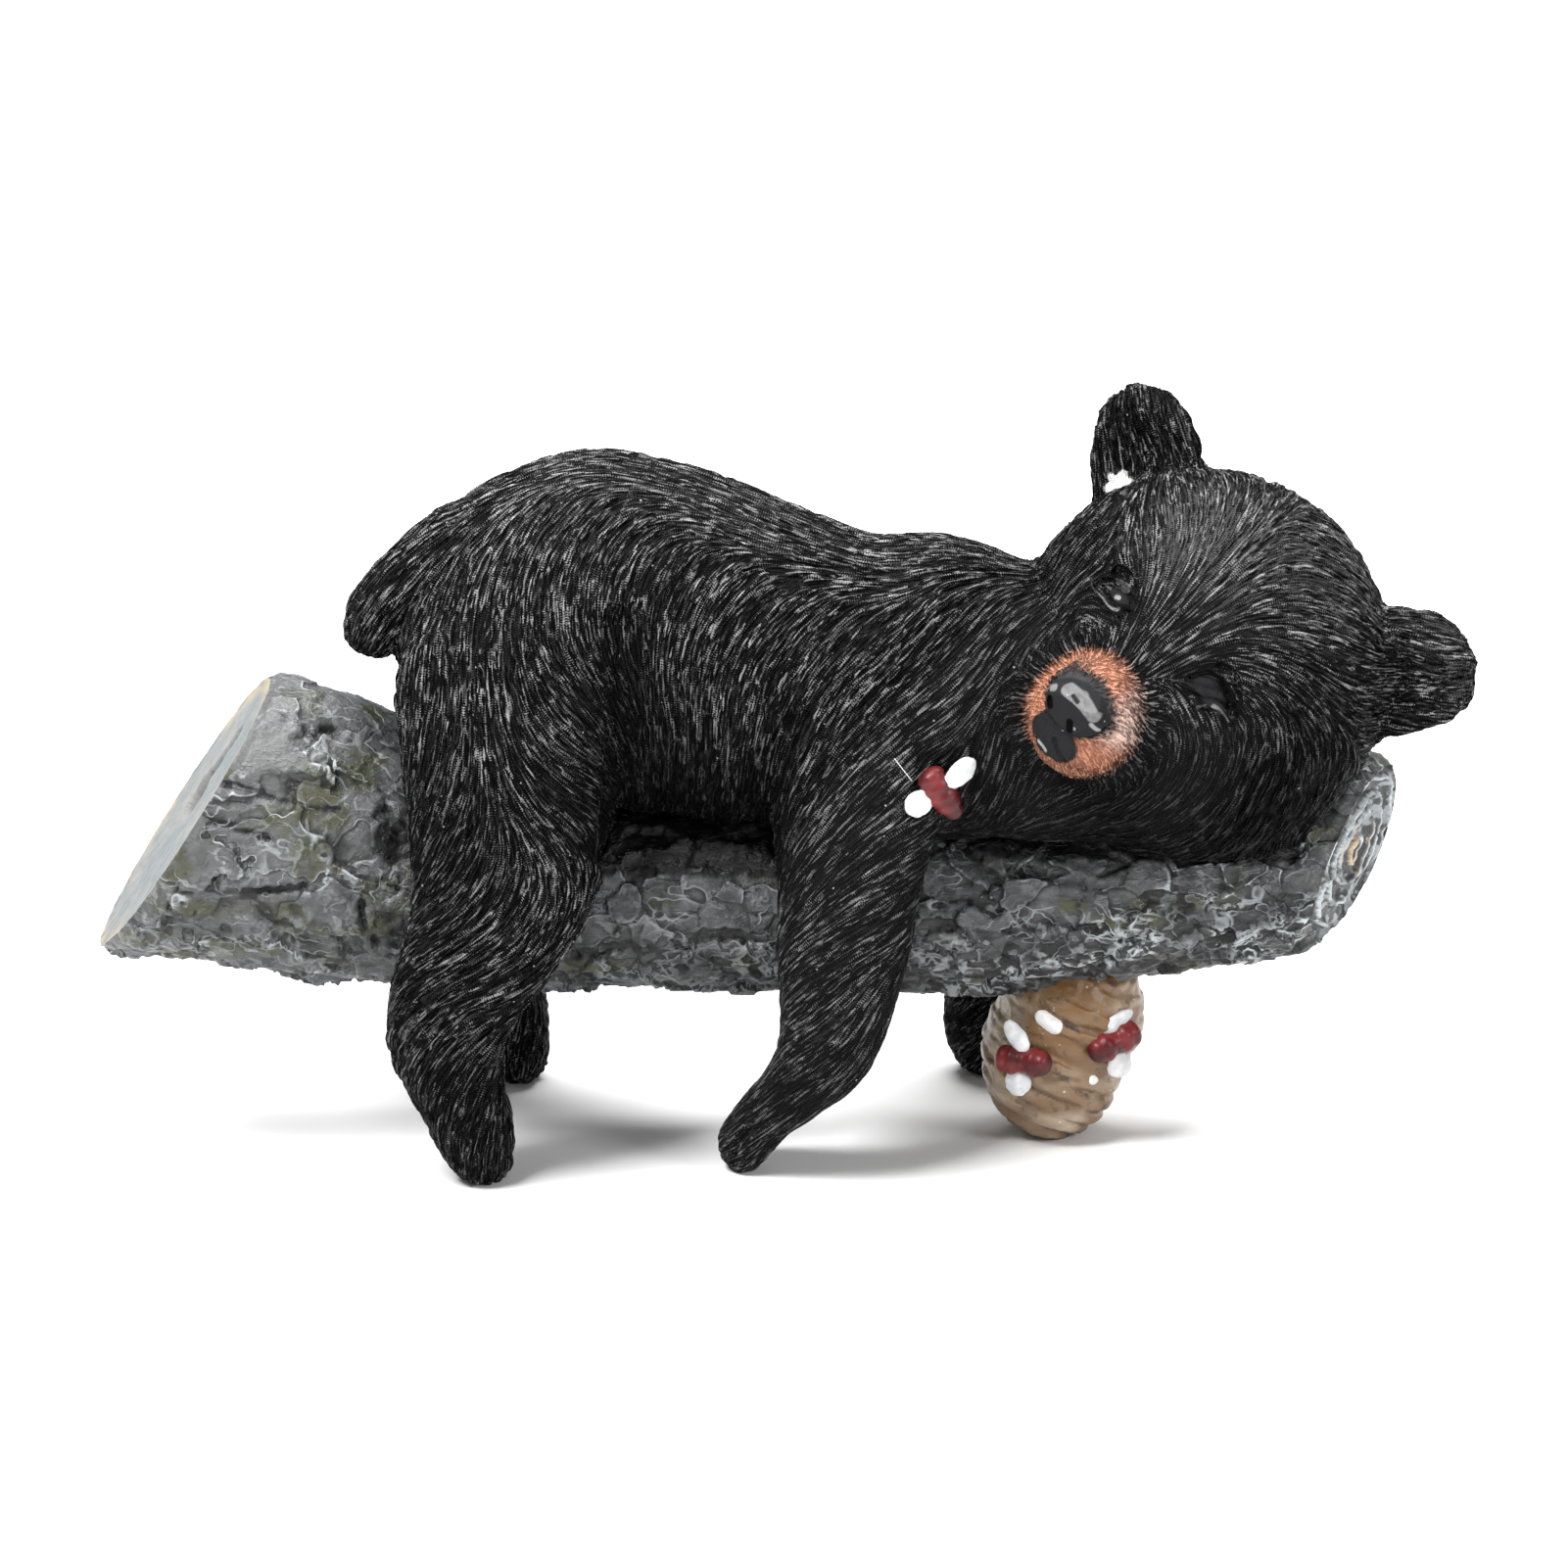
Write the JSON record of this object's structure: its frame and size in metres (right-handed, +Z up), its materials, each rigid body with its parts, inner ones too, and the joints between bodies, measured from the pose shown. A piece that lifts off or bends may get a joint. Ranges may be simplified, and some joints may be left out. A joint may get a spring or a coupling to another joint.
{
  "type": "sleeping bear figurine",
  "caption": "Cast resin figurine of a bear cub asleep over a branch stub, with a bees' nest below and a slanted, slotted end for hanging on a trunk.",
  "frame": {"origin": "middle of the box at floor level, under the branch, where the paws and the foot of the nest stand", "axes": "+X along the branch from the slanted trunk cut to the end with growth rings, -Y the side the bear faces, +Z up"},
  "size_m": [0.2369, 0.0814, 0.132],
  "materials": {
    "fur_black": "black paint over carved fur, satin, with thin grey dry-brushing on the ridges",
    "bark_grey": "grey paint over carved bark, pale blue-grey ridges, olive washes",
    "cut_wood": "pale paint on the two sawn ends",
    "nest_tan": "tan paint with a brown wash in the coils, satin",
    "bee_red": "dark red paint, glossy",
    "wing_white": "thick white paint dabs",
    "muzzle_brown": "brown paint feathered into the black"
  },
  "bodies": {
    "root": {"sleeping_bear_on_branch": "fur_black"}
  },
  "joints": []
}
